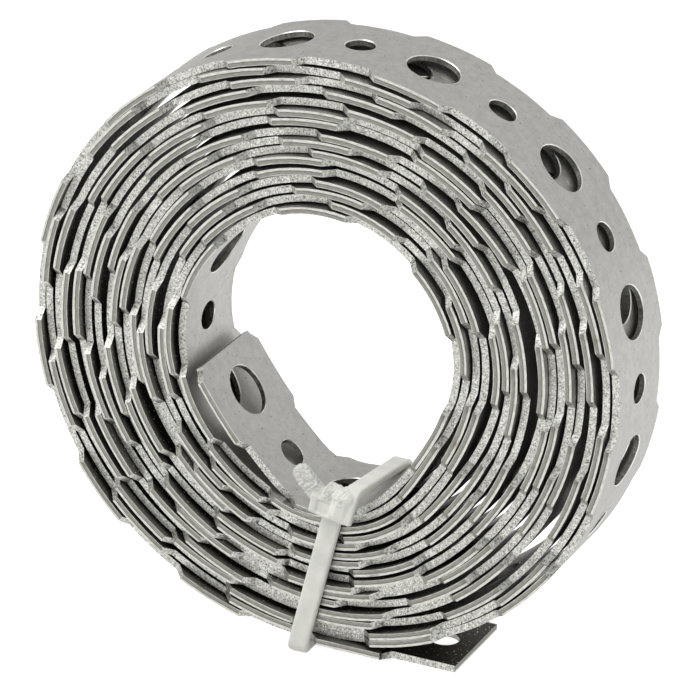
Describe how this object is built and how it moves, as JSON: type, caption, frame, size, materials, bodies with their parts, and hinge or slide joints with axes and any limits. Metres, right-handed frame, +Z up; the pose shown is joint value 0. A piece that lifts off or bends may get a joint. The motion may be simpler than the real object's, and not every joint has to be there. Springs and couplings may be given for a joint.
{
  "type": "roll of perforated mounting strap",
  "caption": "Coiled roll of thin stainless mounting strap with wavy edges and alternating large and small holes, held by one cable tie.",
  "frame": {"origin": "on the axis of the coil's bore, midway across the strap's width", "axes": "+Z up with the roll standing on its straight outer end and the tie, -Y out of the front end, +X to the right as the front is seen"},
  "size_m": [0.0844, 0.0219, 0.0855],
  "materials": {
    "stainless": "cold-rolled stainless strip, satin faces and sheared edges",
    "nylon": "natural nylon, milky and slightly glossy"
  },
  "bodies": {
    "root": {"strap": "stainless", "cable_tie": "nylon"}
  },
  "joints": []
}
